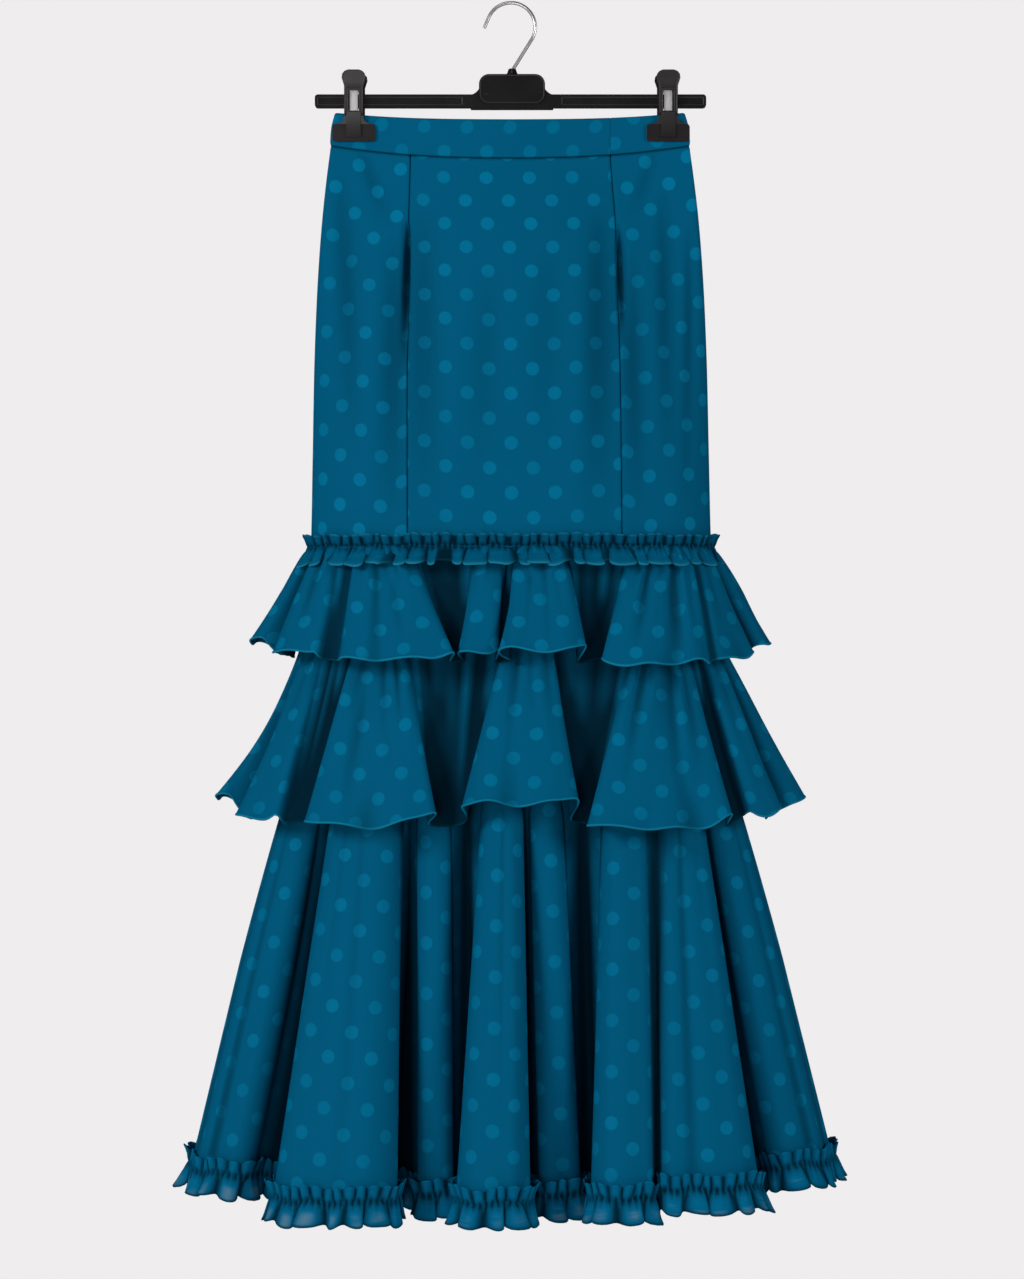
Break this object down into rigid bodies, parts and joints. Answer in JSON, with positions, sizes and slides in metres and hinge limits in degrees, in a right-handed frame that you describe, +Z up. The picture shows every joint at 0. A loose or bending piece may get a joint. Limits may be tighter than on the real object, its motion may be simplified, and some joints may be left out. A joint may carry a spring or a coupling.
{
  "type": "flamenco skirt on a clip hanger",
  "caption": "Long fitted flamenco skirt with a waistband, flared flounces and gathered frills, hanging by its waistband from the sprung clips of a bar hanger with a wire hook.",
  "frame": {"origin": "inside top of the hook, where it rests on a rail", "axes": "+Z up along the skirt's length, +X to the right seen from the front, -Y out of the front"},
  "size_m": [0.6632, 0.3327, 1.1997],
  "materials": {
    "crepe": "soft matt crepe with woven-in dots of its own colour",
    "frill": "thin matt crepe, gathered, with rolled edges",
    "plastic": "black moulded, satin",
    "steel": "polished wire and spring strip"
  },
  "bodies": {
    "root": {"waistband_front": "crepe", "waistband_front_side": "crepe", "waistband_back_left": "crepe", "waistband_back_right": "crepe", "panel_front_left": "crepe", "panel_front_centre": "crepe", "panel_front_right": "crepe", "panel_back_left": "crepe", "panel_back_right": "crepe", "flounce_1_front": "crepe", "flounce_1_back": "crepe", "flounce_2_front": "crepe", "flounce_2_back": "crepe", "flounce_3_front": "crepe", "flounce_3_back": "crepe", "hip_frill_front": "frill", "hip_frill_back": "frill", "hem_frill_front": "frill", "hem_frill_back": "frill", "hanger_bar": "plastic", "hook_collar": "plastic", "clip_left_front": "plastic", "clip_left_back": "plastic", "clip_right_front": "plastic", "clip_right_back": "plastic", "hanger_hook": "steel", "clip_left_spring": "steel", "clip_right_spring": "steel"}
  },
  "joints": []
}
